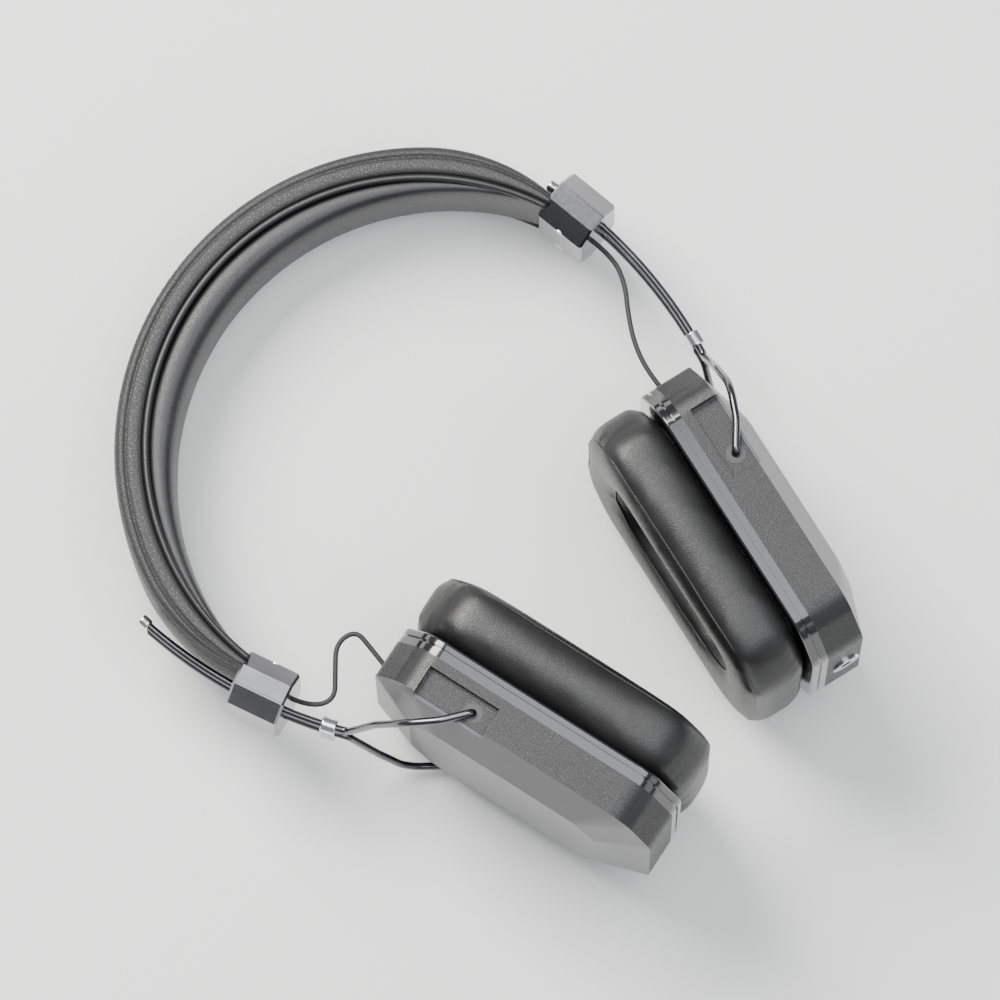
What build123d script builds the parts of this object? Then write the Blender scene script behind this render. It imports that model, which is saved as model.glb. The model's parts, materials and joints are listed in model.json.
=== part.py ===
from build123d import *
from math import cos, degrees, pi, radians, sin, tan
import os

# A headset lying on its side. It is drawn upright in the arch plane (x to the wearer's left, y up, z to the
# front) and that plane is laid down so that the band and both cups touch the surface.

# How the arch plane lies on the surface: slopes of the surface in the arch plane's own axes
rest_slope_x = 0.03761
rest_slope_y = 0.17933

# Headband
band_radius = 88.4          # outer face over the crown
band_end_x = 83.2           # outer face where it enters the slider block
band_turn = 33.0            # where the crown's arc meets the tighter end arcs, from the x axis
crown_inner = 68.8          # inner face of the cushion over the crown
end_inner_x = 77.6          # inner face of the cushion at the slider block
end_inner_y = 9.0
crown_mid = 80.4            # where cover and cushion meet, over the crown
end_mid_x = 79.0            # and at the slider block
cover_width = 31.0
cushion_width = 26.6
cushion_round = 2.2
cover_round = 1.6
spring_width = 14.0
spring_depth = 1.9          # from the cover's outer face
spring_thickness = 1.0
piping_radius = 1.05
piping_play = 0.05
inner_lead_z = 10.5
inner_lead_depth = 2.2
inner_lead_radius = 0.8
band_sweep = 20.0           # how far the band's layers run down before the block trims them

# Sliding arm: the wires run on an arc about the slide centre
slide_x = -54.1
slide_y = 17.4
wire_arc = 140.0
wire_radius = 1.1
wire_bore = 1.35
wire_z = 4.5
wire_top = -2.6             # angles on the arc, from the x axis, arm fully out
bridge_top = -26.6
bridge_bottom = -28.4
bridge_half_width = 7.2
bridge_half_height = 2.3
stop_half_width = 6.6
stop_half_height = 1.7
stop_length = 3.4
bar_round = 0.9             # of a bar's half height
bridge_edge = 0.5
stop_edge = 0.8
pivot_angle = -44.6
pivot_arc = 135.7
pivot_z = 38.9
pin_end_z = 33.6
fan_points = ((11.4, 139.6, 24.5), (8.1, 140.0, 37.0), (3.9, 138.4, pivot_z))
fan_lead_in = 3.5
fan_bend = 12.0             # largest bend radius of the fan
pin_bend = 1.4              # where the wire turns into its pivot

# How the arms and cups stand at rest
arm_slide = {"left": 0.0, "right": 12.0}
cup_lean = {"left": 25.2, "right": 12.0}

# Slider block, an elongated octagon across the band
block_angle = -6.85
block_arc = 137.6
block_length = 16.0
block_half_height = 8.1
block_half_width = 16.0
block_flat = 3.0
block_bevel_width = 10.2
block_edge = 0.7
block_split = 2.4           # the halves part at the wires
block_split_gap = 0.1
trim_room = 3.0             # half sizes of the block in the space that trims the band
tongue_depth = 10.0         # how far the steel strip goes into the block
tongue_play = 0.15
screw_z = 9.0
screw_radius = 1.0
screw_head_radius = 1.6
screw_head_height = 1.2
screw_reach = 2.6
detent_half_width = 6.6
detent_half_length = 4.5
detent_thickness = 0.4
detent_pocket_height = 1.0
detent_pocket_play = 0.4

# Leads from the blocks to the cups, as points beside the band, and the last one found at the cup
lead_radius = 0.75
lead_bore = 0.95
lead_points = {
    "left": ((79.6, -4.5), (78.8, -13.5), (74.0, -21.0), (67.0, -26.5), (60.3, -33.0), (55.4, -41.0)),
    "right": ((79.6, -4.5), (78.7, -11.8), (73.0, -17.0), (66.0, -12.5), (59.0, -8.2), (52.8, -11.0),
              (54.8, -17.2)),
}
arc_share = 0.45            # of the shorter run, taken by each arc

# Cup, seen from outside: x across, y towards the band, z outward from the pivots' line
cup_half_depth = 40.0
cup_half_height = 46.2
cup_corner_x = 24.0
cup_corner_y = 37.2
cup_corner_radius = 9.0
cup_drop = -15.7            # the cup's middle, below the pivots
seam_z = -7.7
wall_top_z = 3.8
dome_top_z = 9.6
wall = 2.2
dome_wall = 2.0
dome_half_depth = 26.0
dome_half_height = 31.0
dome_corner_x = 17.0
dome_corner_y = 24.0
dome_corner_radius = 4.0
boss_inner_x = 34.8
pocket_floor_x = 37.4
pocket_bottom_y = -6.0
pocket_top_y = 17.0
pocket_bottom_z = -4.6
bush_radius = 2.8
bush_bore = 1.2
bush_flange_radius = 3.6
bush_flange = 1.4
baffle_thickness = 2.2
baffle_play = 0.2
trim_depth = 5.0
trim_width = 8.0
trim_groove = 0.8
trim_round = 0.7
scrim_inset = 8.2
scrim_thickness = 0.6
pad_gap = 0.2
pad_inset = 0.4
pad_thickness = 20.2
pad_opening_x = 18.0
pad_opening_y = 28.0
pad_opening_radius = 15.0
pad_outer_round = 5.5
pad_inner_round = 5.0
pad_back_round = 2.0
post_x = 22.5
post_y = 26.5
post_radius = 3.0
post_top_z = 8.1
cup_screw_radius = 1.1
cup_screw_head_radius = 2.1
cup_screw_head = 1.5
cup_screw_length = 9.0
driver_radius = 22.0
driver_bore = 18.0
driver_rim = 20.5
driver_wall = 2.0
driver_depth = 8.0
driver_floor = 1.5
diaphragm_thickness = 0.4
diaphragm_rise = 2.6
diaphragm_base = 17.0
diaphragm_crown = 6.0
magnet_radius = 13.0
magnet_height = 4.0
magnet_edge = 0.6
vent_count = 6
grommet_z = -3.2
grommet_body = 1.5
grommet_flange = 2.4
grommet_flange_height = 1.2
grommet_round = 0.3
lead_gap = 0.4

# Jack socket in the bottom of the left cup, for a 3.5 mm plug
jack_bore = 1.75
jack_body_radius = 3.6
jack_rim_radius = 4.4
jack_rim_height = 0.8
jack_depth = 14.0
jack_back = 1.5
jack_z = -1.5
board_half_width = 8.0
board_length = 10.0
board_thickness = 1.2

pieces = {}


def keep(name, part):
    """Label a finished piece and hold it for export."""
    part.label = name
    pieces[name] = part


def within(frame, origin, x_dir, z_dir):
    """A plane given in another plane's own coordinates."""
    return Plane(frame.location * Plane(origin=origin, x_dir=x_dir, z_dir=z_dir).location)


def polar(angle, radius, z=0.0):
    """A point of an arm's plane, from its angle about the slide centre."""
    return (radius * cos(radians(angle)), radius * sin(radians(angle)), z)


surface = Plane(origin=(0, 0, 0), x_dir=(1, 0, rest_slope_x), z_dir=(-rest_slope_x, -rest_slope_y, 1))
arch = Plane(surface.location.inverse())
half_turn = {"left": 1, "right": -1}


def arm_plane(side, slide):
    """The plane of an arm: origin at the slide centre, x outward, turned by the slide angle."""
    hand = half_turn[side]
    turned = (hand * cos(radians(slide)), sin(radians(slide)), 0)
    return within(arch, (hand * slide_x, slide_y, 0), turned, (0, 0, hand))


def side_plane(side):
    """The arch plane as one side sees it, x outward."""
    hand = half_turn[side]
    return within(arch, (0, 0, 0), (hand, 0, 0), (0, 0, hand))


def cup_plane(side):
    """The plane of a cup: origin on the pivots' line, y towards the band, z outward."""
    lean = radians(cup_lean[side])
    frame = arm_plane(side, arm_slide[side])
    return within(frame, polar(pivot_angle, pivot_arc), (0, 0, -1), (cos(lean), -sin(lean), 0))


def block_plane(side, height):
    """A plane across the slider block: x outward, normal along the wires towards the crown."""
    frame = arm_plane(side, 0)
    radial = polar(block_angle, 1)
    along = polar(block_angle + 90, 1)
    centre = polar(block_angle, block_arc)
    origin = tuple(c + height * a for c, a in zip(centre, along))
    return within(frame, origin, radial, along)


def section_plane(side, slide, angle):
    """A plane through the slide axis, x outward from it, y across the wires."""
    return within(arm_plane(side, slide), (0, 0, 0), polar(angle, 1), polar(angle + 90, 1))


def slide_axis(side):
    """The axis that an arm slides about."""
    frame = arm_plane(side, 0)
    return Axis(frame.origin, frame.z_dir)


# ---------------------------------------------------------------- headband

end_radius = (band_end_x - band_radius * cos(radians(band_turn))) / (1 - cos(radians(band_turn)))
end_centre_x = (band_radius - end_radius) * cos(radians(band_turn))
end_centre_y = (band_radius - end_radius) * sin(radians(band_turn))
inner_centre_y = (end_inner_x ** 2 + end_inner_y ** 2 - crown_inner ** 2) / (2 * (end_inner_y - crown_inner))
inner_radius = crown_inner - inner_centre_y
mid_centre_y = (end_mid_x ** 2 + end_inner_y ** 2 - crown_mid ** 2) / (2 * (end_inner_y - crown_mid))
mid_radius = crown_mid - mid_centre_y


def band_arcs(inset, low):
    """The band's line at a depth below its outer face, from one end over the crown to the other."""
    radius = end_radius - inset
    CenterArc((end_centre_x, end_centre_y), radius, -low, band_turn + low)
    CenterArc((0, 0), band_radius - inset, band_turn, 180 - 2 * band_turn)
    CenterArc((-end_centre_x, end_centre_y), radius, 180 - band_turn, band_turn + low)


def band_layer(top, bottom, low):
    """A face between two depths of the band."""
    with BuildSketch() as layer:
        with BuildLine() as outline:
            band_arcs(top, low)
            band_arcs(bottom, low)
            ends = outline.vertices().sort_by(Axis.Y)[:4]
            Line(ends.sort_by(Axis.X)[0], ends.sort_by(Axis.X)[1])
            Line(ends.sort_by(Axis.X)[2], ends.sort_by(Axis.X)[3])
        make_face()
    return layer.sketch


def block_outline():
    """The octagon of the slider block."""
    high, wide = block_half_height, block_half_width
    with BuildSketch() as octagon:
        with BuildLine():
            Polyline(
                (block_flat, wide), (high, block_bevel_width), (high, -block_bevel_width), (block_flat, -wide),
                (-block_flat, -wide), (-high, -block_bevel_width), (-high, block_bevel_width),
                (-block_flat, wide), close=True,
            )
        make_face()
    return octagon.sketch


def block_room(side):
    """The space below the block's upper face, which trims the band's layers."""
    with BuildPart() as room:
        with BuildSketch(block_plane(side, block_length / 2)):
            Rectangle(trim_room * block_half_height, trim_room * block_half_width)
        extrude(amount=-2 * block_length)
    return room.part


rooms = [block_room(side) for side in half_turn]

with BuildPart() as headband_spring:
    with BuildSketch(arch.offset(-spring_width / 2)):
        add(band_layer(spring_depth, spring_depth + spring_thickness, band_sweep))
    extrude(amount=spring_width)
    for side in half_turn:
        with BuildSketch(block_plane(side, block_length / 2 - tongue_depth)):
            Rectangle(trim_room * block_half_height, trim_room * block_half_width)
        extrude(amount=-2 * block_length, mode=Mode.SUBTRACT)
keep("headband_spring", headband_spring.part)

with BuildPart() as crossover_lead:
    with BuildLine(arch.offset(inner_lead_z)) as inner_route:
        band_arcs(inner_lead_depth, band_sweep)
    with BuildSketch(Plane(inner_route.wire() @ 0, z_dir=inner_route.wire() % 0)):
        Circle(inner_lead_radius)
    sweep(path=inner_route.wire())
    for room in rooms:
        add(room, mode=Mode.SUBTRACT)
keep("crossover_lead", crossover_lead.part)

with BuildPart() as headband_cover:
    with BuildSketch(arch.offset(-cover_width / 2)):
        add(band_layer(0, band_radius / 2, band_sweep))
        with Locations((0, mid_centre_y)):
            Circle(mid_radius, mode=Mode.SUBTRACT)
    extrude(amount=cover_width)
    cover_arcs = headband_cover.edges().filter_by(GeomType.CIRCLE)
    fillet(cover_arcs.sort_by(lambda edge: abs(edge.radius - band_radius))[:2], cover_round)
    for room in rooms:
        add(room, mode=Mode.SUBTRACT)
    add(headband_spring.part, mode=Mode.SUBTRACT)
    add(crossover_lead.part, mode=Mode.SUBTRACT)
keep("headband_cover", headband_cover.part)

with BuildPart() as headband_cushion:
    with BuildSketch(arch.offset(-cushion_width / 2)) as cushion_face:
        add(band_layer(0, band_radius / 2, band_sweep))
        with Locations((0, mid_centre_y)):
            Circle(mid_radius, mode=Mode.INTERSECT)
        with Locations((0, inner_centre_y)):
            Circle(inner_radius, mode=Mode.SUBTRACT)
    extrude(amount=cushion_width)
    for room in rooms:
        add(room, mode=Mode.SUBTRACT)
    inner_faces = headband_cushion.faces().filter_by(GeomType.CYLINDER)
    fillet(inner_faces.sort_by(lambda face: abs(face.radius - inner_radius))[0].edges().filter_by(
        GeomType.CIRCLE), cushion_round)
keep("headband_cushion", headband_cushion.part)

with BuildPart() as headband_piping:
    for hand in half_turn.values():
        piping_z = hand * (cushion_width / 2 + piping_radius + piping_play)
        with BuildLine(arch.offset(piping_z)) as piping_route:
            piping_arc = mid_radius - piping_radius - piping_play
            CenterArc((0, mid_centre_y), piping_arc, -band_sweep / 2, 180 + band_sweep)
        with BuildSketch(Plane(piping_route.wire() @ 0, z_dir=piping_route.wire() % 0)):
            Circle(piping_radius)
        sweep(path=piping_route.wire())
    for room in rooms:
        add(room, mode=Mode.SUBTRACT)
keep("headband_piping", headband_piping.part)


# ---------------------------------------------------------------- slider blocks

def wire_section(frame, radius, half_heights=(wire_z, -wire_z)):
    """The wires' circles on a section plane."""
    with BuildSketch(frame) as section:
        with Locations(*[(wire_arc, height) for height in half_heights]):
            Circle(radius)
    return section.sketch


def wire_bores(side):
    """The arc-shaped bores that the wires slide in."""
    reach = degrees(block_length / wire_arc)
    with BuildPart() as bores:
        add(wire_section(section_plane(side, 0, block_angle - reach), wire_bore))
        revolve(axis=slide_axis(side), revolution_arc=2 * reach)
    return bores.part


def block_screws(side):
    """The two screws that hold a block's halves together."""
    frame = block_plane(side, 0)
    face = within(frame, (-block_half_height, 0, 0), (0, 0, 1), (1, 0, 0))
    with BuildPart() as screws:
        with BuildSketch(face):
            with Locations((0, screw_z), (0, -screw_z)):
                Circle(screw_head_radius)
        extrude(amount=screw_head_height)
        with BuildSketch(face.offset(screw_head_height)):
            with Locations((0, screw_z), (0, -screw_z)):
                Circle(screw_radius)
        extrude(amount=block_half_height + block_split + screw_reach - screw_head_height)
    return screws.part


def block_half(side, outer, screws, bores):
    """One half of a slider block, before its own pockets."""
    split_x = block_split + (block_split_gap / 2 if outer else -block_split_gap / 2)
    with BuildPart() as half:
        with BuildSketch(block_plane(side, -block_length / 2)):
            add(block_outline())
        extrude(amount=block_length)
        along = Axis(block_plane(side, 0).origin, block_plane(side, 0).z_dir)
        end_faces = half.faces().sort_by(along)
        chamfer(end_faces[0].edges() + end_faces[-1].edges(), block_edge)
        splitter = within(block_plane(side, 0), (split_x, 0, 0), (0, 1, 0), (1, 0, 0))
        split(bisect_by=splitter, keep=Keep.TOP if outer else Keep.BOTTOM)
        add(bores, mode=Mode.SUBTRACT)
        add(screws, mode=Mode.SUBTRACT)
    return half.part


for side in half_turn:
    screws = block_screws(side)
    bores = wire_bores(side)
    keep(f"slider_screws_{side}", screws)

    detent_face = within(block_plane(side, 0), (wire_arc - block_arc + wire_bore, 0, 0), (0, 1, 0), (1, 0, 0))
    with BuildPart() as detent_spring:
        with BuildSketch(detent_face):
            Rectangle(2 * detent_half_width, 2 * detent_half_length)
        extrude(amount=detent_thickness)
    keep(f"detent_spring_{side}", detent_spring.part)

    with BuildPart() as slider_block_outer:
        add(block_half(side, True, screws, bores))
        with BuildSketch(detent_face):
            Rectangle(2 * (detent_half_width + detent_pocket_play), 2 * (detent_half_length + detent_pocket_play))
        extrude(amount=detent_pocket_height, mode=Mode.SUBTRACT)
    keep(f"slider_block_outer_{side}", slider_block_outer.part)

    with BuildPart() as slider_block_inner:
        add(block_half(side, False, screws, bores))
        with BuildSketch(arch.offset(-spring_width / 2 - tongue_play)):
            add(band_layer(spring_depth - tongue_play, spring_depth + spring_thickness + tongue_play, band_sweep))
        extrude(amount=spring_width + 2 * tongue_play, mode=Mode.SUBTRACT)
        start, below = [Vector(*point) for point in lead_points[side][:2]]
        start = side_plane(side).from_local_coords(start)
        below = side_plane(side).from_local_coords(below)
        with BuildSketch(Plane(start, z_dir=below - start)):
            Circle(lead_bore)
        extrude(amount=block_length / 2, mode=Mode.SUBTRACT)
    keep(f"slider_block_inner_{side}", slider_block_inner.part)


# ---------------------------------------------------------------- sliding arms

def bend_radii(points, largest):
    """A bend radius for each corner of a route, as large as its two runs allow."""
    runs = [b - a for a, b in zip(points, points[1:])]
    turns = [radians(a.get_angle(b)) for a, b in zip(runs, runs[1:])]
    return [
        min(largest, arc_share * min(a.length, b.length) / tan(turn / 2))
        for a, b, turn in zip(runs, runs[1:], turns)
    ]


def yoke_wire(side, hand):
    """One wire: its free tail, the sliding arc, the fan over the cup's corner and the pivot pin."""
    frame = arm_plane(side, arm_slide[side])
    fan_start = Vector(*polar(bridge_bottom, wire_arc, hand * wire_z))
    fan = [fan_start, fan_start + Vector(*polar(bridge_bottom - 90, fan_lead_in))]
    fan += [Vector(*polar(pivot_angle + turn, arc, hand * height)) for turn, arc, height in fan_points]
    fan += [Vector(*polar(pivot_angle, pivot_arc, hand * height)) for height in (pivot_z, pin_end_z)]
    fan = [frame.from_local_coords(point) for point in fan]
    fan_radii = bend_radii(fan, fan_bend)[:-1] + [pin_bend]
    with BuildPart() as wire:
        with BuildLine() as route:
            FilletPolyline(*fan, radius=fan_radii)
        with BuildSketch(Plane(route.wire() @ 0, z_dir=route.wire() % 0)):
            Circle(wire_radius)
        sweep(path=route.wire())
        section = section_plane(side, arm_slide[side], bridge_bottom)
        add(wire_section(section, wire_radius, [-hand * wire_z]))
        revolve(axis=slide_axis(side), revolution_arc=wire_top - bridge_bottom)
    return wire.part


def arm_block(side, top_angle, half_width, half_height, length, edge):
    """A small block across both wires, bored for them."""
    frame = section_plane(side, arm_slide[side], top_angle)
    with BuildPart() as block:
        with BuildSketch(frame):
            with Locations((wire_arc, 0)):
                RectangleRounded(2 * half_height, 2 * half_width, half_height * bar_round)
        extrude(amount=-length)
        fillet(block.edges().group_by(Edge.length.fget)[-1], edge)
    return block.part


for side in half_turn:
    wires = [yoke_wire(side, hand) for hand in (1, -1)]
    with BuildPart() as yoke_wires:
        add(wires)
    keep(f"yoke_wires_{side}", yoke_wires.part)

    bridge_length = radians(bridge_top - bridge_bottom) * wire_arc
    with BuildPart() as yoke_bridge:
        add(arm_block(side, bridge_top, bridge_half_width, bridge_half_height, bridge_length, bridge_edge))
        for wire in wires:
            add(wire, mode=Mode.SUBTRACT)
    keep(f"yoke_bridge_{side}", yoke_bridge.part)

    stop_top = wire_top + stop_length / 2 / wire_arc * 180 / pi
    with BuildPart() as end_stop:
        add(arm_block(side, stop_top, stop_half_width, stop_half_height, stop_length, stop_edge))
        for wire in wires:
            add(wire, mode=Mode.SUBTRACT)
    keep(f"end_stop_{side}", end_stop.part)

    cup = cup_plane(side)
    grommet_out = cup_half_height + cup_drop + grommet_flange_height + lead_gap
    lead_end = cup.from_local_coords(Vector(0, grommet_out, grommet_z))
    route_points = [side_plane(side).from_local_coords(Vector(*point)) for point in lead_points[side]]
    route_points.append(lead_end)
    lead_radii = bend_radii(route_points, cup_half_height)
    with BuildPart() as arm_lead:
        with BuildLine() as lead_route:
            FilletPolyline(*route_points, radius=lead_radii)
        with BuildSketch(Plane(route_points[0], z_dir=route_points[1] - route_points[0])):
            Circle(lead_radius)
        sweep(path=lead_route.wire())
    keep(f"arm_lead_{side}", arm_lead.part)
    print(f"arm_lead_{side} length {lead_route.wire().length:.2f}",
          f"volume {arm_lead.part.volume:.2f} of {pi * lead_radius ** 2 * lead_route.wire().length:.2f}",
          "radii", [round(radius, 1) for radius in lead_radii])


# ---------------------------------------------------------------- cups

def eight_sided(half_x, half_y, corner_x, corner_y, radius):
    """A rectangle with cut corners, rounded off, about the cup's middle."""
    with BuildSketch() as shape:
        with BuildLine():
            Polyline(
                (corner_x, half_y), (half_x, corner_y), (half_x, -corner_y), (corner_x, -half_y),
                (-corner_x, -half_y), (-half_x, -corner_y), (-half_x, corner_y), (-corner_x, half_y),
                close=True,
            )
        make_face()
        fillet(shape.vertices(), radius)
    return Pos(0, cup_drop) * shape.sketch


def cup_outline(inset):
    """The cup's outline, drawn in by an inset."""
    outline = eight_sided(cup_half_depth, cup_half_height, cup_corner_x, cup_corner_y, cup_corner_radius)
    if inset == 0:
        return outline
    with BuildSketch() as drawn_in:
        add(outline)
        offset(amount=-inset, mode=Mode.REPLACE)
    return drawn_in.sketch


def slab(frame, outline, bottom, top):
    """An outline extruded between two heights of a frame."""
    with BuildPart() as plate:
        with BuildSketch(frame.offset(bottom)):
            add(outline)
        extrude(amount=top - bottom)
    return plate.part


def dome(frame, inset, drop):
    """The faceted dome, drawn in and lowered for its inner face."""
    with BuildPart() as shape:
        with BuildSketch(frame.offset(wall_top_z)):
            add(cup_outline(inset))
        with BuildSketch(frame.offset(dome_top_z - drop)):
            add(eight_sided(
                dome_half_depth - inset / 2, dome_half_height - inset / 2, dome_corner_x - inset / 4,
                dome_corner_y - inset / 4, dome_corner_radius,
            ))
        loft(ruled=True)
    return shape.part


def pocket(frame):
    """The recess in each side wall in which a wire's end turns."""
    with BuildPart() as recess:
        with BuildSketch(frame.offset(pocket_bottom_z)):
            for hand in (1, -1):
                with Locations((hand * (pocket_floor_x + wall), (pocket_top_y + pocket_bottom_y) / 2)):
                    Rectangle(2 * wall, pocket_top_y - pocket_bottom_y)
        extrude(amount=dome_top_z - pocket_bottom_z)
    return recess.part


def pivot_bores(frame, radius):
    """Bores along the pivots' line."""
    with BuildPart() as bore:
        with BuildSketch(within(frame, (-cup_half_depth, 0, 0), (0, 1, 0), (1, 0, 0))):
            Circle(radius)
        extrude(amount=2 * cup_half_depth)
    return bore.part


outline_full = cup_outline(0)
outline_wall = cup_outline(wall)
outline_baffle = cup_outline(wall + baffle_play)
outline_trim = cup_outline(trim_width)
outline_groove = cup_outline(trim_groove)
outline_scrim = cup_outline(scrim_inset)
outline_pad = cup_outline(pad_inset)
baffle_top_z = seam_z + baffle_thickness
trim_bottom_z = seam_z - trim_depth
driver_flange_z = baffle_top_z + diaphragm_thickness
driver_top_z = driver_flange_z + driver_depth

for side in half_turn:
    cup = cup_plane(side)
    driver_plane = within(cup, (0, cup_drop, 0), (1, 0, 0), (0, 0, 1))
    posts = [(x, cup_drop + y) for x in (-post_x, post_x) for y in (-post_y, post_y)]
    recess = pocket(cup)
    end_wall = within(cup, (0, cup_half_height + cup_drop, grommet_z), (1, 0, 0), (0, 1, 0))
    jack_wall = within(cup, (0, cup_drop - cup_half_height, jack_z), (1, 0, 0), (0, -1, 0))

    with BuildPart() as lead_grommet:
        with BuildSketch(end_wall):
            Circle(grommet_flange)
        extrude(amount=grommet_flange_height)
        with BuildSketch(end_wall):
            Circle(grommet_body)
        extrude(amount=-wall)
        fillet(lead_grommet.edges().group_by(Edge.length.fget)[-1], grommet_round)
    keep(f"lead_grommet_{side}", lead_grommet.part)

    with BuildPart() as pivot_bushes:
        for hand in (1, -1):
            shoulder = within(cup, (hand * boss_inner_x, 0, 0), (0, 1, 0), (hand, 0, 0))
            with BuildSketch(shoulder):
                Circle(bush_radius)
            extrude(amount=pocket_floor_x - boss_inner_x)
            with BuildSketch(shoulder):
                Circle(bush_flange_radius)
            extrude(amount=-bush_flange)
        add(pivot_bores(cup, bush_bore), mode=Mode.SUBTRACT)
    keep(f"pivot_bushes_{side}", pivot_bushes.part)

    if side == "left":
        with BuildPart() as jack_socket:
            with BuildSketch(jack_wall):
                Circle(jack_rim_radius)
            extrude(amount=jack_rim_height)
            with BuildSketch(jack_wall.offset(jack_rim_height)):
                Circle(jack_body_radius)
            extrude(amount=-(jack_rim_height + jack_depth + jack_back))
            with BuildSketch(jack_wall.offset(jack_rim_height)):
                Circle(jack_bore)
            extrude(amount=-jack_depth, mode=Mode.SUBTRACT)
        keep("jack_socket_left", jack_socket.part)

        board_y = cup_drop - cup_half_height + jack_depth - board_length / 2
        board_plane = within(cup, (0, board_y, jack_z + jack_body_radius), (1, 0, 0), (0, 0, 1))
        with BuildPart() as jack_board:
            with BuildSketch(board_plane):
                Rectangle(2 * board_half_width, board_length)
            extrude(amount=board_thickness)
        keep("jack_board_left", jack_board.part)

    with BuildPart() as cup_housing:
        add(slab(cup, outline_full, seam_z, wall_top_z))
        add(slab(cup, outline_wall, seam_z, wall_top_z), mode=Mode.SUBTRACT)
        with BuildSketch(cup.offset(baffle_top_z + baffle_play)) as bosses:
            for hand in (1, -1):
                with Locations((hand * (boss_inner_x + wall), (pocket_top_y + pocket_bottom_y) / 2)):
                    Rectangle(2 * wall, pocket_top_y - pocket_bottom_y + 2 * wall)
            add(outline_full, mode=Mode.INTERSECT)
        extrude(amount=wall_top_z - baffle_top_z - baffle_play)
        add(recess, mode=Mode.SUBTRACT)
        add(pivot_bores(cup, bush_radius), mode=Mode.SUBTRACT)
        with BuildSketch(end_wall):
            Circle(grommet_body)
        extrude(amount=-2 * wall, mode=Mode.SUBTRACT)
        if side == "left":
            with BuildSketch(jack_wall):
                Circle(jack_body_radius)
            extrude(amount=-2 * wall, mode=Mode.SUBTRACT)
    keep(f"cup_housing_{side}", cup_housing.part)

    with BuildPart() as cover_screws:
        with BuildSketch(cup.offset(seam_z)):
            with Locations(*posts):
                Circle(cup_screw_head_radius)
        extrude(amount=-cup_screw_head)
        with BuildSketch(cup.offset(seam_z)):
            with Locations(*posts):
                Circle(cup_screw_radius)
        extrude(amount=cup_screw_length)
    keep(f"cover_screws_{side}", cover_screws.part)

    with BuildPart() as back_cover:
        add(dome(cup, 0, 0))
        add(dome(cup, wall, dome_wall), mode=Mode.SUBTRACT)
        with BuildSketch(cup.offset(baffle_top_z)):
            with Locations(*posts):
                Circle(post_radius)
        extrude(amount=post_top_z - baffle_top_z)
        add(recess, mode=Mode.SUBTRACT)
        add(cover_screws.part, mode=Mode.SUBTRACT)
    keep(f"back_cover_{side}", back_cover.part)

    with BuildPart() as baffle:
        add(slab(cup, outline_baffle, seam_z, baffle_top_z))
        with BuildSketch(driver_plane.offset(seam_z)):
            Circle(driver_bore)
        extrude(amount=baffle_thickness, mode=Mode.SUBTRACT)
        add(cover_screws.part, mode=Mode.SUBTRACT)
    keep(f"baffle_{side}", baffle.part)

    with BuildPart() as trim_ring:
        add(slab(cup, outline_full, trim_bottom_z, seam_z))
        fillet(trim_ring.faces().sort_by(Axis(cup.origin, cup.z_dir))[0].edges(), trim_round)
        groove_z = seam_z - trim_depth / 2
        groove_band = slab(cup, outline_full, groove_z - trim_groove / 2, groove_z + trim_groove / 2)
        add(groove_band - slab(cup, outline_groove, trim_bottom_z, seam_z), mode=Mode.SUBTRACT)
        add(slab(cup, outline_trim, trim_bottom_z, seam_z), mode=Mode.SUBTRACT)
    keep(f"trim_ring_{side}", trim_ring.part)

    keep(f"pad_scrim_{side}", slab(cup, outline_scrim, trim_bottom_z, trim_bottom_z + scrim_thickness))

    with BuildPart() as ear_pad:
        add(slab(cup, outline_pad, trim_bottom_z - pad_gap - pad_thickness, trim_bottom_z - pad_gap))
        outward = Axis(cup.origin, cup.z_dir)
        fillet(ear_pad.faces().sort_by(outward)[0].edges(), pad_outer_round)
        fillet(ear_pad.faces().sort_by(outward)[-1].edges(), pad_back_round)
        with BuildSketch(cup.offset(trim_bottom_z - pad_gap)) as opening:
            with Locations((0, cup_drop)):
                RectangleRounded(2 * pad_opening_x, 2 * pad_opening_y, pad_opening_radius)
        extrude(amount=-pad_thickness, mode=Mode.SUBTRACT)
        head_face = ear_pad.faces().sort_by(outward)[0]
        fillet(head_face.inner_wires()[0].edges(), pad_inner_round)
    keep(f"ear_pad_{side}", ear_pad.part)

    with BuildPart() as driver_frame:
        with BuildSketch(driver_plane.offset(driver_flange_z)):
            Circle(driver_radius)
        extrude(amount=driver_depth)
        with BuildSketch(driver_plane.offset(driver_flange_z)):
            Circle(driver_bore)
        extrude(amount=driver_depth - driver_floor, mode=Mode.SUBTRACT)
        with BuildSketch(driver_plane.offset(driver_top_z)):
            with PolarLocations(magnet_radius + driver_wall, vent_count):
                Circle(driver_wall / 2)
        extrude(amount=-driver_floor, mode=Mode.SUBTRACT)
    keep(f"driver_frame_{side}", driver_frame.part)

    with BuildPart() as driver_magnet:
        with BuildSketch(driver_plane.offset(driver_top_z)):
            Circle(magnet_radius)
        extrude(amount=magnet_height)
        chamfer(driver_magnet.faces().sort_by(outward)[-1].edges(), magnet_edge)
    keep(f"driver_magnet_{side}", driver_magnet.part)

    with BuildPart() as driver_diaphragm:
        with BuildSketch(driver_plane.offset(baffle_top_z)):
            Circle(driver_rim)
        extrude(amount=diaphragm_thickness)
        for skin, mode in ((diaphragm_thickness, Mode.ADD), (0, Mode.SUBTRACT)):
            with BuildSketch(driver_plane.offset(baffle_top_z)):
                Circle(diaphragm_base + skin)
            with BuildSketch(driver_plane.offset(baffle_top_z + diaphragm_rise + skin)):
                Circle(diaphragm_crown + skin)
            loft(mode=mode)
    keep(f"driver_diaphragm_{side}", driver_diaphragm.part)


# ---------------------------------------------------------------- frame of the finished part

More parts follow.
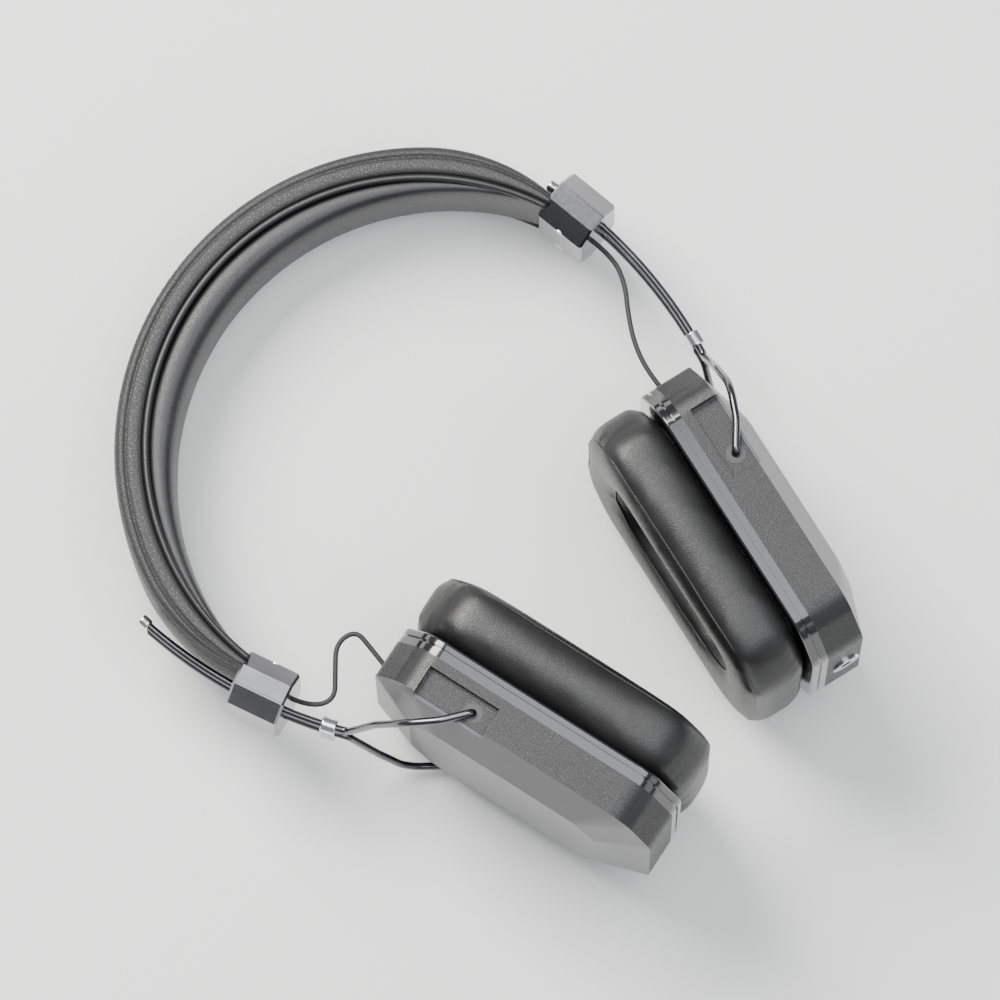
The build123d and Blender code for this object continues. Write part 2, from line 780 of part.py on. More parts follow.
cords = ("arm_lead_left", "arm_lead_right")
boxes = [part.bounding_box() for name, part in pieces.items() if name not in cords]
low = Vector(*[min(getattr(box.min, axis) for box in boxes) for axis in "XYZ"])
high = Vector(*[max(getattr(box.max, axis) for box in boxes) for axis in "XYZ"])
to_origin = Location((-(low.X + high.X) / 2, -(low.Y + high.Y) / 2, -low.Z))

os.makedirs("parts", exist_ok=True)
for name, part in pieces.items():
    placed = to_origin * part
    placed.label = name
    export_step(placed, f"parts/{name}.step")
print("size", high - low)
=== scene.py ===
import json
from math import acos, atan2, cos, pi, radians, sin, sqrt, tan

import bpy
import numpy as np
from bpy.props import FloatProperty, FloatVectorProperty, IntProperty, PointerProperty
from mathutils import Matrix, Vector
from mathutils.bvhtree import BVHTree


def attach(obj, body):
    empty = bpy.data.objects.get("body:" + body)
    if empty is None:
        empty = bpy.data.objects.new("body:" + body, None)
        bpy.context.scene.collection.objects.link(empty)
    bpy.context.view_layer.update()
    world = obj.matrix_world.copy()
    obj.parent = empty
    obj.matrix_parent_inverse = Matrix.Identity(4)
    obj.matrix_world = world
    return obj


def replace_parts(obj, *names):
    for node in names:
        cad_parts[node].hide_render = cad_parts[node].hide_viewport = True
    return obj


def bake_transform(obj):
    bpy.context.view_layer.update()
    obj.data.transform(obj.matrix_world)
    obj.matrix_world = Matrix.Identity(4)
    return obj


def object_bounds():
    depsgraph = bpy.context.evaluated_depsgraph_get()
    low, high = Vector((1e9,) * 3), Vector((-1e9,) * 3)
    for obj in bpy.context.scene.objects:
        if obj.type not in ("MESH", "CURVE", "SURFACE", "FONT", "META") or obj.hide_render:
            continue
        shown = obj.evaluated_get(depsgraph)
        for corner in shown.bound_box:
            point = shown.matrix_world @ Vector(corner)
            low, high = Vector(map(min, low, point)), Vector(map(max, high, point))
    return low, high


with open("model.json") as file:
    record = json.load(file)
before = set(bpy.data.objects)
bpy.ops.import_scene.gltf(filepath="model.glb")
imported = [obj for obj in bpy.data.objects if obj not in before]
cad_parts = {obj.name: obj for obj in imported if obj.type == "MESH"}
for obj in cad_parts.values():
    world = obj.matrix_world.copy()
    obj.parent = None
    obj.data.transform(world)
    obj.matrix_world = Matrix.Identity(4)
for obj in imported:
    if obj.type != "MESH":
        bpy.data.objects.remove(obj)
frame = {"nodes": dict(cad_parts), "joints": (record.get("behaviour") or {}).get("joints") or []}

CAD_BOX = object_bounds()

bl_info = {
    "name": "Headset",
    "version": (1, 0, 0),
    "blender": (4, 5, 0),
    "location": "View3D > Sidebar > Headset",
    "description": "Dresses the headset's frame in leather, foam, steel and plastic, and lights it",
    "category": "Object",
}

MM = 0.001
SIDES = ("left", "right")
HAND = {"left": 1.0, "right": -1.0}

# The band's line, as the frame has it
BAND_RADIUS = 88.4 * MM
BAND_END_X = 83.2 * MM
BAND_TURN = radians(33.0)
BAND_END = radians(100.0)
CROWN_INNER = 68.8 * MM
END_INNER_X = 77.6 * MM
END_INNER_Y = 9.0 * MM
CROWN_MID = 80.4 * MM
END_MID_X = 79.0 * MM
COVER_HALF = 15.45 * MM
CUSHION_HALF = 14.2 * MM
PIPING_Z = 14.35 * MM
PIPING_RADIUS = 1.05 * MM

# The cups, from the pivots' line: x across, y towards the band, z outward
SLIDE_Y = 17.4 * MM
CUP_LEAN = {"left": radians(25.2), "right": 0.0}
CUP_DROP = -15.7 * MM
CUP_OUTLINE = (40.0 * MM, 46.2 * MM, 24.0 * MM, 37.2 * MM)
CUP_CORNER = 9.0 * MM
SEAM_Z = -7.7 * MM
WALL_TOP_Z = 3.8 * MM
TRIM_Z = -12.7 * MM
PAD_HEAD_Z = -33.1 * MM
PAD_OPENING = (18.0 * MM, 28.0 * MM)
PAD_OPENING_CORNER = 15.0 * MM
SCRIM_INSET = 8.2 * MM
SCRIM_RISE = 0.5 * MM
GROMMET_END = (0.0, 32.1 * MM, -3.2 * MM)

LEAD_POINTS = {
    "left": ((79.6, -4.5), (78.8, -13.5), (74.0, -21.0), (67.0, -26.5), (60.3, -33.0), (55.4, -41.0)),
    "right": ((79.6, -4.5), (78.7, -11.8), (73.0, -17.0), (66.0, -12.5), (59.0, -8.2), (52.8, -11.0),
              (54.8, -17.2)),
}

# Where the camera stands over the surface, from the band's centre
CAMERA_X = -336 * MM
CAMERA_Y = 167 * MM
CAMERA_HEIGHT = 2800 * MM
CAMERA_UP = (0.8387, 0.5446, 0.0)
FRAME_WIDTH = 0.285
SENSOR = 36.0
FLOOR_HALF = 3.0
WINDOW_SIDE = Vector((0.208, 0.978, 0))

joints = {joint["name"]: joint for joint in frame["joints"]}


def placement(origin, x_axis, y_axis, z_axis):
    """A matrix from a local frame to the row frame."""
    turn = Matrix((x_axis, y_axis, z_axis)).transposed().to_4x4()
    return Matrix.Translation(origin) @ turn


def arch_frame():
    """The arch plane, from the two slide centres: x to the wearer's left, y to the crown."""
    left = Vector(joints["arm_slide_left"]["pos_m"])
    right = Vector(joints["arm_slide_right"]["pos_m"])
    x_axis = (right - left).normalized()
    z_axis = Vector(joints["arm_slide_left"]["axis"]).normalized()
    y_axis = z_axis.cross(x_axis)
    return placement((left + right) / 2 - y_axis * SLIDE_Y, x_axis, y_axis, z_axis)


ARCH = arch_frame()


def cup_frame(side):
    """A cup's frame, on its pivots' line."""
    lean = CUP_LEAN[side]
    outward = ARCH.to_3x3() @ Vector((HAND[side] * cos(lean), -sin(lean), 0))
    upward = ARCH.to_3x3() @ Vector((HAND[side] * sin(lean), cos(lean), 0))
    return placement(Vector(joints[f"cup_tilt_{side}"]["pos_m"]), upward.cross(outward), upward, outward)


CUP = {side: cup_frame(side) for side in SIDES}


# ------------------------------------------------------------------ shader arithmetic

class Signal:
    """A node socket that takes part in Python arithmetic; each operation adds its Math node."""

    def __init__(self, shader, socket):
        self.shader = shader
        self.socket = socket

    def math(self, operation, *values):
        return self.shader.node("ShaderNodeMath", {"operation": operation}, dict(enumerate(values)))[0]

    def __add__(self, other):
        return self.math("ADD", self, other)

    __radd__ = __add__

    def __sub__(self, other):
        return self.math("SUBTRACT", self, other)

    def __rsub__(self, other):
        return self.math("SUBTRACT", other, self)

    def __mul__(self, other):
        return self.math("MULTIPLY", self, other)

    __rmul__ = __mul__

    def __pow__(self, other):
        return self.math("POWER", self, other)

    def __rpow__(self, other):
        return self.math("POWER", other, self)

    def sine(self):
        return self.math("SINE", self)

    def clamp(self, low=0.0, high=1.0):
        return self.math("MINIMUM", self.math("MAXIMUM", self, low), high)

    def step(self, low, high):
        """0 below low, 1 above high, smooth between."""
        return self.shader.node(
            "ShaderNodeMapRange", {"interpolation_type": "SMOOTHSTEP"},
            {0: self, 1: low, 2: high, 3: 0.0, 4: 1.0})[0]


class Shader:
    """One material: its nodes are made by one method, and its surface by another."""

    def __init__(self, name):
        self.material = bpy.data.materials.new(name)
        self.material.use_nodes = True
        self.tree = self.material.node_tree
        self.tree.nodes.clear()
        self.count = 0

    def node(self, kind, settings=None, inputs=None):
        """Adds a node, its settings first and then its sockets, and returns its outputs as Signals."""
        node = self.tree.nodes.new(kind)
        node.location = (180 * (self.count % 12), -220 * (self.count // 12))
        self.count += 1
        for key, value in (settings or {}).items():
            setattr(node, key, value)
        for key, value in (inputs or {}).items():
            socket = node.inputs[key]
            if isinstance(value, Signal):
                self.tree.links.new(value.socket, socket)
            elif socket.type == "RGBA" and len(value) == 3:
                socket.default_value = (*value, 1.0)
            else:
                socket.default_value = value
        return [Signal(self, output) for output in node.outputs]

    def place(self):
        """Where a point is on the object, in metres."""
        return self.node("ShaderNodeTexCoord")[3]

    def stretched(self, vector, scale):
        """A vector scaled differently along each axis."""
        return self.node("ShaderNodeVectorMath", {"operation": "MULTIPLY"}, {0: vector, 1: scale})[0]

    def noise(self, vector, scale, detail=3.0):
        return self.node("ShaderNodeTexNoise", None, {
            "Vector": vector, "Scale": scale, "Detail": detail, "Roughness": 0.55})[0]

    def drift(self, vector, scale, reach):
        """A vector that wanders by up to about a reach, so that a pattern read at it loses its regularity."""
        colour = self.node("ShaderNodeTexNoise", None, {"Vector": vector, "Scale": scale})[1]
        shift = self.stretched(colour, (reach,) * 3)
        return self.node("ShaderNodeVectorMath", {"operation": "ADD"}, {0: vector, 1: shift})[0]

    def cells(self, vector, scale):
        """How far a point is from the edge of its cell."""
        return self.node(
            "ShaderNodeTexVoronoi", {"feature": "DISTANCE_TO_EDGE"}, {"Vector": vector, "Scale": scale})[0]

    def mix(self, factor, first, second):
        """A colour between two colours."""
        return self.node("ShaderNodeMix", {"data_type": "RGBA"}, {0: factor, 6: first, 7: second})[2]

    def bump(self, height, strength, distance):
        return self.node("ShaderNodeBump", None, {
            "Strength": strength, "Distance": distance, "Height": height})[0]

    def surface(self, **sockets):
        """The Principled surface; a socket's name has its spaces written as underscores."""
        named = {key.replace("_", " "): value for key, value in sockets.items()}
        bsdf = self.node("ShaderNodeBsdfPrincipled", None, named)[0]
        self.node("ShaderNodeOutputMaterial", None, {"Surface": bsdf})
        return self.material


def shade(colour, factor):
    """A colour made lighter or darker."""
    return tuple(min(1.0, channel * factor) for channel in colour[:3])


# ------------------------------------------------------------------ materials

DRAWN = (1.0, 1.0, 0.08)  # metal's fine lines run along z


def leather(name, colour, grain, depth, rough):
    """Coated leather: pebbled grain with creases between the pebbles, worn a little smoother on top; the
    creases are darkened with painted shade.
    """
    s = Shader(name)
    place = s.place()
    edge = s.cells(s.drift(place, 0.35 / grain, grain * 0.8), 1 / grain)
    crease = 1 - edge.step(0.0, 0.22)
    fine = s.noise(place, 4.0 / grain, 2.0)
    broad = s.noise(place, 28.0, 3.0)
    height = edge.step(0.0, 0.35) * 0.8 + fine * 0.25
    tone = s.mix(broad.step(0.3, 0.7), shade(colour, 0.78), shade(colour, 1.25))
    # painted shade: the creases between the pebbles are mixed towards a darker copy of the leather's colour
    tone = s.mix(crease * 0.6, tone, shade(colour, 0.45))
    gloss = rough + crease * 0.18 + (broad - 0.5) * 0.16
    return s.surface(
        Base_Color=tone, Roughness=gloss.clamp(0.05, 1.0), Normal=s.bump(height, 0.55, depth))


def metal(name, colour, rough, wear=0.0):
    """Metal with fine drawn lines and faint handling marks."""
    s = Shader(name)
    place = s.place()
    lines = s.noise(s.stretched(place, DRAWN), 900.0, 3.0)
    marks = s.noise(place, 60.0, 3.0)
    tone = s.mix(marks.step(0.3, 0.8), shade(colour, 0.94), shade(colour, 1.06 + wear))
    gloss = rough + (lines - 0.5) * 0.1 + marks.step(0.45, 0.8) * 0.04
    return s.surface(
        Base_Color=tone, Metallic=1.0, Roughness=gloss.clamp(0.04, 1.0),
        Normal=s.bump(lines, 0.12, 0.02 * MM))


def plastic(name, colour, rough, texture, depth, coat=0.0):
    """Moulded plastic with a spark-eroded texture."""
    s = Shader(name)
    place = s.place()
    fine = s.noise(place, 1 / texture, 2.0)
    broad = s.noise(place, 35.0, 3.0)
    tone = s.mix(broad.step(0.3, 0.7), shade(colour, 0.88), shade(colour, 1.14))
    gloss = rough + (broad - 0.5) * 0.12 + (fine - 0.5) * 0.06
    return s.surface(
        Base_Color=tone, Roughness=gloss.clamp(0.03, 1.0), Normal=s.bump(fine, 0.4, depth),
        Coat_Weight=coat, Coat_Roughness=0.08)


def rubber(name, colour):
    """A matt cable sheath."""
    s = Shader(name)
    fine = s.noise(s.place(), 1800.0, 2.0)
    return s.surface(
        Base_Color=s.mix(fine, shade(colour, 0.8), shade(colour, 1.3)), Roughness=0.52 + fine * 0.14,
        Normal=s.bump(fine, 0.25, 0.03 * MM))


def mesh_cloth(name, colour, pitch):
    """Open acoustic cloth: two sets of threads over and under, read from the sheet's own UV in metres."""
    s = Shader(name)
    split = s.node("ShaderNodeSeparateXYZ", None, {0: s.node("ShaderNodeTexCoord")[2]})
    warp = (split[0] * (2 * pi / pitch)).sine() * 0.5 + 0.5
    weft = (split[1] * (2 * pi / pitch)).sine() * 0.5 + 0.5
    thread = (warp * weft) ** 0.6
    fuzz = s.noise(s.place(), 2200.0, 2.0)
    tone = s.mix(thread, shade(colour, 0.35), shade(colour, 1.9))
    return s.surface(
        Base_Color=tone, Roughness=0.78 + fuzz * 0.15, Normal=s.bump(thread + fuzz * 0.2, 0.8, 0.12 * MM),
        Sheen_Weight=0.2)


def thread_cloth(name, colour):
    """Twisted sewing thread."""
    s = Shader(name)
    twist = s.noise(s.place(), 2600.0, 1.0)
    return s.surface(
        Base_Color=s.mix(twist, shade(colour, 0.6), shade(colour, 1.5)), Roughness=0.6 + twist * 0.2,
        Normal=s.bump(twist, 0.5, 0.05 * MM))


def floor_paint(name, colour):
    """A plain pale surface, barely uneven."""
    s = Shader(name)
    broad = s.noise(s.place(), 3.0, 2.0)
    return s.surface(
        Base_Color=s.mix(broad, shade(colour, 0.985), shade(colour, 1.0)), Roughness=0.7 + broad * 0.1)


# ------------------------------------------------------------------ mesh helpers

def new_mesh(name, points, faces, material, smooth=True):
    """A mesh object from points in the row frame."""
    mesh = bpy.data.meshes.new(name)
    mesh.from_pydata([tuple(point) for point in points], [], faces)
    mesh.update()
    if smooth:
        mesh.shade_smooth()
    made = bpy.data.objects.new(name, mesh)
    bpy.context.scene.collection.objects.link(made)
    made.data.materials.append(material)
    return made


def loft(rings, closed_path=False):
    """Points and quads through closed rings of equal length; open ends are capped."""
    count = len(rings[0])
    points = [point for ring in rings for point in ring]
    faces = []
    last = len(rings) if closed_path else len(rings) - 1
    for i in range(last):
        here = i * count
        there = (i + 1) % len(rings) * count
        for j in range(count):
            k = (j + 1) % count
            faces.append((here + j, here + k, there + k, there + j))
    if not closed_path:
        faces.append(tuple(reversed(range(count))))
        faces.append(tuple(range((len(rings) - 1) * count, len(rings) * count)))
    return points, faces


def joined(parts):
    """Several point and face lists as one."""
    points, faces = [], []
    for more_points, more_faces in parts:
        start = len(points)
        points.extend(more_points)
        faces.extend(tuple(start + index for index in face) for face in more_faces)
    return points, faces


def even_turns(count):
    """Angles that share out a whole turn."""
    return [2 * pi * k / count for k in range(count)]


def tube(path, radius, sides=12, closed=False):
    """A round tube along points, its rings turned as little as possible."""
    path = [Vector(point) for point in path]
    count = len(path)
    rings = []
    across = None
    for i, point in enumerate(path):
        before = path[(i - 1) % count] if closed or i > 0 else point
        after = path[(i + 1) % count] if closed or i < count - 1 else point
        along = (after - before).normalized()
        if across is None:
            across = along.orthogonal().normalized()
        across = (across - along * across.dot(along)).normalized()
        other = along.cross(across)
        rings.append([
            point + radius * (cos(turn) * across + sin(turn) * other) for turn in even_turns(sides)])
    return loft(rings, closed_path=closed)


# A stitch's rings: place along its length, rise and size in thread radii
STITCH = ((-0.5, -0.9, 0.45), (-0.38, 0.1, 0.95), (0.0, 0.4, 1.0), (0.38, 0.1, 0.95), (0.5, -0.9, 0.45))
STITCH_SIDES = 6


def stitches(path, outward, pitch, length, radius):
    """Short capsules of thread along a path, each sunk at its ends."""
    parts = []
    walk = [0.0]
    for a, b in zip(path, path[1:]):
        walk.append(walk[-1] + (b - a).length)
    count = int(walk[-1] / pitch)
    index = 0
    for n in range(count):
        middle = (n + 0.5) * walk[-1] / count
        while walk[index + 1] < middle:
            index += 1
        share = (middle - walk[index]) / (walk[index + 1] - walk[index])
        centre = path[index].lerp(path[index + 1], share)
        lift = outward[index].lerp(outward[index + 1], share).normalized()
        along = (path[index + 1] - path[index]).normalized()
        across = along.cross(lift)
        rings = []
        for place, rise, size in STITCH:
            middle_point = centre + along * place * length + lift * rise * radius
            rings.append([
                middle_point + radius * size * (cos(turn) * across + sin(turn) * lift)
                for turn in even_turns(STITCH_SIDES)])
        parts.append(loft(rings))
    return joined(parts)


def rounded_polygon(corners, radius, steps=8):
    """A polygon's outline with each corner rounded off."""
    outline = []
    count = len(corners)
    for i, corner in enumerate(corners):
        corner = Vector(corner)
        back = (Vector(corners[i - 1]) - corner).normalized()
        on = (Vector(corners[(i + 1) % count]) - corner).normalized()
        half = acos(max(-1.0, min(1.0, back.dot(on)))) / 2
        reach = radius / tan(half)
        centre = corner + (back + on).normalized() * (radius / sin(half))
        start = corner + back * reach - centre
        end = corner + on * reach - centre
        sweep = start.angle_signed(end)
        for k in range(steps + 1):
            turn = -sweep * k / steps
            outline.append(centre + Vector((
                start.x * cos(turn) - start.y * sin(turn), start.x * sin(turn) + start.y * cos(turn))))
    return outline


def by_angle(outline, count, fine=40):
    """An outline resampled at even angles about its middle; its edges are cut fine first, to stay straight."""
    edges = zip(outline, outline[1:] + outline[:1])
    outline = [a.lerp(b, k / fine) for a, b in edges for k in range(fine)]
    angles = np.unwrap([atan2(point.y, point.x) for point in outline])
    if angles[-1] < angles[0]:
        outline = outline[::-1]
        angles = np.unwrap([atan2(point.y, point.x) for point in outline])
    angles = np.append(angles, angles[0] + 2 * pi)
    radii = np.append([point.length for point in outline], outline[0].length)
    wanted = angles[0] + np.arange(count) * 2 * pi / count
    found = np.interp(wanted, angles, radii)
    return [Vector((r * cos(a), r * sin(a))) for a, r in sorted(zip(wanted % (2 * pi), found))]


def cut_rectangle(inset=0.0):
    """The corners of a cup's outline, drawn in by an inset."""
    half_x, half_y, corner_x, corner_y = CUP_OUTLINE
    slope = Vector((half_y - corner_y, half_x - corner_x)).normalized()
    reach = slope.x * half_x + slope.y * corner_y - inset
    x, y = half_x - inset, half_y - inset
    cut_x = (reach - slope.y * y) / slope.x
    cut_y = (reach - slope.x * x) / slope.y
    right = [(cut_x, y), (x, cut_y), (x, -cut_y), (cut_x, -y)]
    return right + [(-a, b) for a, b in reversed(right)]


def cup_loop(inset, count=128):
    """The cup's outline at an inset, about the cup's middle."""
    return by_angle(rounded_polygon(cut_rectangle(inset), max(CUP_CORNER - inset * 0.8, 3 * MM)), count)


def opening_loop(grow=0.0, count=128):
    """The ear opening's outline."""
    half_x, half_y = PAD_OPENING[0] + grow, PAD_OPENING[1] + grow
    corners = [(half_x, half_y), (half_x, -half_y), (-half_x, -half_y), (-half_x, half_y)]
    return by_angle(rounded_polygon(corners, PAD_OPENING_CORNER + grow), count)


def baked_copy(made):
    """The object's mesh as its modifiers leave it."""
    evaluated = made.evaluated_get(bpy.context.evaluated_depsgraph_get())
    return bpy.data.meshes.new_from_object(evaluated)


def apply_modifiers(made):
    """Replaces an object's mesh by what its modifiers give."""
    mesh = baked_copy(made)
    made.modifiers.clear()
    made.data = mesh
    mesh.shade_smooth()


CLOTH_FRAMES = 20


def inflate(made, voxel, pressure, cap):
    """Fills a soft piece by a short cloth simulation: remeshed, blown up, capped, applied and smoothed."""
    materials = list(made.data.materials)
    remesh = made.modifiers.new("Remesh", "REMESH")
    remesh.mode = "VOXEL"
    remesh.voxel_size = voxel
    apply_modifiers(made)
    start = np.array([vertex.co for vertex in made.data.vertices])
    cloth = made.modifiers.new("Cloth", "CLOTH")
    cloth.settings.quality = 5
    cloth.settings.use_pressure = True
    cloth.settings.uniform_pressure_force = pressure
    cloth.settings.tension_stiffness = 12
    cloth.settings.compression_stiffness = 12
    cloth.settings.bending_stiffness = 0.6
    cloth.settings.effector_weights.gravity = 0
    cloth.point_cache.frame_end = CLOTH_FRAMES
    for number in range(1, CLOTH_FRAMES + 1):
        bpy.context.scene.frame_set(number)
    mesh = baked_copy(made)
    blown = np.array([vertex.co for vertex in mesh.vertices])
    move = blown - start
    length = np.linalg.norm(move, axis=1, keepdims=True)
    move *= np.minimum(1.0, cap / np.maximum(length, 1e-9))
    made.modifiers.clear()
    made.data.vertices.foreach_set("co", (start + move).ravel())
    made.data.update()
    bpy.context.scene.frame_set(1)
    smooth = made.modifiers.new("Smooth", "SMOOTH")
    smooth.iterations = 6
    smooth.factor = 0.5
    subdivide = made.modifiers.new("Subdivision", "SUBSURF")
    subdivide.levels = 1
    subdivide.render_levels = 1
    apply_modifiers(made)
    made.data.materials.clear()
    for material in materials:
        made.data.materials.append(material)


def soften_edges(name, width, angle=25.0):
    """Breaks the sharp edges of a carried-over node, as moulding and machining leave them."""
    node = frame["nodes"][name]
    bevel = node.modifiers.new("Edges", "BEVEL")
    bevel.width = width
    bevel.segments = 2
    bevel.limit_method = "ANGLE"
    bevel.angle_limit = radians(angle)


def paint(material, *names):
    """Gives carried-over nodes their material."""
    for name in names:
        node = frame["nodes"][name]
        node.data.materials.clear()
        node.data.materials.append(material)


def both(stem):
    """A node's name on each side."""
    return [f"{stem}_{side}" for side in SIDES]


# ------------------------------------------------------------------ headband line

END_RADIUS = (BAND_END_X - BAND_RADIUS * cos(BAND_TURN)) / (1 - cos(BAND_TURN))
END_CENTRE = Vector((cos(BAND_TURN), sin(BAND_TURN))) * (BAND_RADIUS - END_RADIUS)
INNER_Y = (END_INNER_X ** 2 + END_INNER_Y ** 2 - CROWN_INNER ** 2) / (2 * (END_INNER_Y - CROWN_INNER))
INNER_RADIUS = CROWN_INNER - INNER_Y
MID_Y = (END_MID_X ** 2 + END_INNER_Y ** 2 - CROWN_MID ** 2) / (2 * (END_INNER_Y - CROWN_MID))
MID_RADIUS = CROWN_MID - MID_Y


def band_station(turn):
    """The band's outer point and outward direction at a turn, and the depths of its cover and of all of it."""
    normal = Vector((sin(turn), cos(turn)))
    if abs(turn) <= pi / 2 - BAND_TURN:
        outer = normal * BAND_RADIUS
    else:
        outer = Vector((END_CENTRE.x if turn > 0 else -END_CENTRE.x, END_CENTRE.y)) + normal * END_RADIUS
    depths = []
    for centre_y, radius in ((MID_Y, MID_RADIUS), (INNER_Y, INNER_RADIUS)):
        offset = outer - Vector((0, centre_y))
        along = offset.dot(normal)
        depths.append(along - sqrt(along ** 2 - offset.length_squared + radius ** 2))
    return outer, normal, *depths


def band_point(turn, depth, z):
    """A point of the band in the row frame."""
    outer, normal, *_ = band_station(turn)
    flat = outer - normal * depth
    return ARCH @ Vector((flat.x, flat.y, z))


def band_turns(count):
    """Even turns along the band."""
    return [BAND_END * (2 * i / count - 1) for i in range(count + 1)]


# ------------------------------------------------------------------ settings

class HeadsetSizes(bpy.types.PropertyGroup):
    """Sizes that change the look and not the fit"""

    grain: FloatProperty(name="Band grain", description="Size of the band leather's pebbles",
                         default=0.9 * MM, unit="LENGTH")
    pad_grain: FloatProperty(name="Pad grain", description="Size of the pad leather's pebbles",
                             default=0.55 * MM, unit="LENGTH")
    stitch_pitch: FloatProperty(name="Stitch pitch", description="From one stitch to the next",
                                default=3.0 * MM, unit="LENGTH")
    stitch_length: FloatProperty(name="Stitch length", description="Length of thread that shows",
                                 default=2.3 * MM, unit="LENGTH")
    thread_radius: FloatProperty(name="Thread radius", description="Half the thickness of the sewing thread",
                                 default=0.24 * MM, unit="LENGTH")
    cloth_pitch: FloatProperty(name="Cloth pitch", description="From one thread of the ear cloth to the next",
                               default=0.8 * MM, unit="LENGTH")
    band_steps: IntProperty(name="Band steps", description="Stations along the band", default=160)


class HeadsetColours(bpy.types.PropertyGroup):
    """Colours of the headset's finishes"""

    vinyl: FloatVectorProperty(
        name="Band", description="Band cover", subtype="COLOR", size=3,
        default=(0.026, 0.026, 0.027))
    cushion: FloatVectorProperty(
        name="Band cushion", description="Inner side of the band", subtype="COLOR", size=3,
        default=(0.022, 0.022, 0.024))
    pad: FloatVectorProperty(
        name="Pads", description="Ear pads", subtype="COLOR", size=3,
        default=(0.012, 0.012, 0.0125))
    block: FloatVectorProperty(
        name="Slider blocks", description="Gunmetal of the blocks", subtype="COLOR", size=3,
        default=(0.20, 0.20, 0.21))
    wire: FloatVectorProperty(
        name="Wires", description="Darkened steel of the wires", subtype="COLOR", size=3,
        default=(0.13, 0.13, 0.135))
    bright: FloatVectorProperty(
        name="Bright steel", description="Plated small parts", subtype="COLOR", size=3,
        default=(0.75, 0.75, 0.76))
    housing: FloatVectorProperty(
        name="Cup walls", description="Grained plastic of the walls", subtype="COLOR", size=3,
        default=(0.014, 0.014, 0.015))
    cover: FloatVectorProperty(
        name="Back covers", description="Satin plastic of the domes", subtype="COLOR", size=3,
        default=(0.06, 0.06, 0.065))
    trim: FloatVectorProperty(
        name="Trim rings", description="Glossy rings", subtype="COLOR", size=3,
        default=(0.010, 0.010, 0.011))
    floor: FloatVectorProperty(
        name="Surface", description="The surface below", subtype="COLOR", size=3,
        default=(0.93, 0.93, 0.92))


def sizes():
    return bpy.context.scene.headset_sizes


def colours():
    return bpy.context.scene.headset_colours


# ------------------------------------------------------------------ pieces

def crowned(count, half_width, top, bottom, power):
    """A cushion's section: points of width and depth round a superellipse."""
    section = []
    for angle in even_turns(count):
        across = abs(cos(angle)) ** (2 / power) * (1 if cos(angle) >= 0 else -1)
        down = abs(sin(angle)) ** (2 / power) * (1 if sin(angle) >= 0 else -1)
        section.append((half_width * across, (top + bottom) / 2 + (bottom - top) / 2 * down))
    return section


class HEADSET_OT_band_cover(bpy.types.Operator):
    """Builds the band's outer cover: crowned leather with two sewn channels, turned in at its edges"""

    bl_idname = "headset.band_cover"
    bl_label = "Band cover"

    def execute(self, context):
        material = leather("band_leather", colours().vinyl, sizes().grain, 0.10 * MM, 0.44)
        half = COVER_HALF
        seam = half - 2.6 * MM
        welt = 0.42
        side = [
            (half - 2.2 * MM, 1.0, 0.0), (half - 0.9 * MM, 1.0, -0.1), (half - 0.2 * MM, 0.93, 0.0),
            (half, 0.8, 0.0), (half, 0.6, 0.0), (half - 0.1 * MM, welt, 0.5), (half - 0.55 * MM, welt, 0.15),
            (half - 0.55 * MM, welt, -0.15), (half - 0.1 * MM, welt, -0.5), (half - 0.05 * MM, 0.25, 0.2),
            (half - 0.5 * MM, 0.0, 1.1), (half - 1.3 * MM, 0.0, 0.6), (seam + 0.35 * MM, 0.0, 0.48),
            (seam + 0.15 * MM, 0.0, 0.8), (seam - 0.15 * MM, 0.0, 0.8), (seam - 0.35 * MM, 0.0, 0.42),
            (seam - 1.4 * MM, 0.0, 0.2), (seam - 4.0 * MM, 0.0, 0.1), (seam - 8.0 * MM, 0.0, 0.02),
        ]
        section = side + [(0.0, 0.0, 0.0)] + [(-x, share, extra) for x, share, extra in reversed(side)]
        rings = []
        for turn in band_turns(sizes().band_steps):
            depth = band_station(turn)[2]
            rings.append([band_point(turn, share * depth + extra * MM, z) for z, share, extra in section])
        cover = new_mesh("band_cover", *loft(rings), material)
        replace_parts(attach(cover, "headband"), "headband_cover")
        rows = []
        for hand in (1, -1):
            turns = band_turns(sizes().band_steps)
            path = [band_point(turn, 0.62 * MM, hand * seam) for turn in turns]
            lift = [band_point(turn, -1.0, 0) - band_point(turn, 0, 0) for turn in turns]
            thread = sizes().stitch_pitch, sizes().stitch_length, sizes().thread_radius
            rows.append(stitches(path, lift, *thread))
        material = thread_cloth("band_thread", shade(colours().vinyl, 1.6))
        sewing = new_mesh("band_stitches", *joined(rows), material)
        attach(sewing, "headband")
        return {"FINISHED"}


class HEADSET_OT_band_cushion(bpy.types.Operator):
    """Builds the band's inner cushion: a crowned pad that thins towards the slider blocks"""

    bl_idname = "headset.band_cushion"
    bl_label = "Band cushion"

    def execute(self, context):
        material = leather("cushion_leather", colours().cushion, sizes().pad_grain, 0.05 * MM, 0.36)
        rings = []
        for turn in band_turns(sizes().band_steps):
            top, bottom = band_station(turn)[2:]
            section = crowned(36, CUSHION_HALF - 0.4 * MM, top + 0.1 * MM, bottom, 3.0)
            rings.append([band_point(turn, depth, z) for z, depth in section])
        cushion = new_mesh("band_cushion", *loft(rings), material)
        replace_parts(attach(cushion, "headband"), "headband_cushion")
        return {"FINISHED"}


